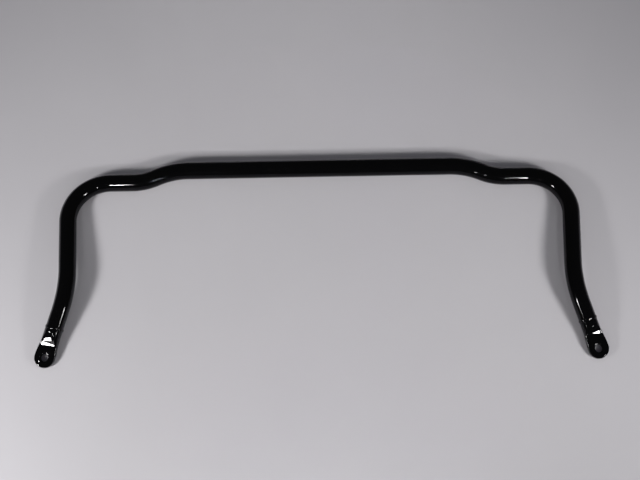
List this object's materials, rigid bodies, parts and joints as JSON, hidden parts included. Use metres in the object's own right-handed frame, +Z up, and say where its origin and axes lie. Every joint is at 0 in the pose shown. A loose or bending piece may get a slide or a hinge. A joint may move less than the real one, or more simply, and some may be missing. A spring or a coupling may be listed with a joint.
{
  "type": "sway bar",
  "caption": "Tubular vehicle sway bar with a joggled centre, bent arms and flat forged eyes with link holes, gloss black.",
  "frame": {"origin": "centre of the bounding box at the level of the ground that the bar lies on", "axes": "+X along the bar to its right end, +Y from the eyes back to the centre section, +Z up from the ground"},
  "size_m": [1.0174, 0.3858, 0.0523],
  "materials": {
    "tube_paint": "gloss black powder coat on steel tube",
    "eye_paint": "gloss black powder coat on forged steel",
    "weld_paint": "gloss black powder coat over a weld bead"
  },
  "bodies": {
    "left_half": {"bar_left": "tube_paint", "eye_left": "eye_paint", "weld_left": "weld_paint"},
    "right_half": {"bar_right": "tube_paint", "eye_right": "eye_paint", "weld_right": "weld_paint"}
  },
  "joints": [
    {"name": "torsion", "type": "hinge", "parent": "left_half", "child": "right_half", "pos_m": [0, 0.15503, 0.01588], "axis": [1, 0, 0], "range_deg": [-20, 20], "stiffness_Nm_per_rad": 6300}
  ]
}
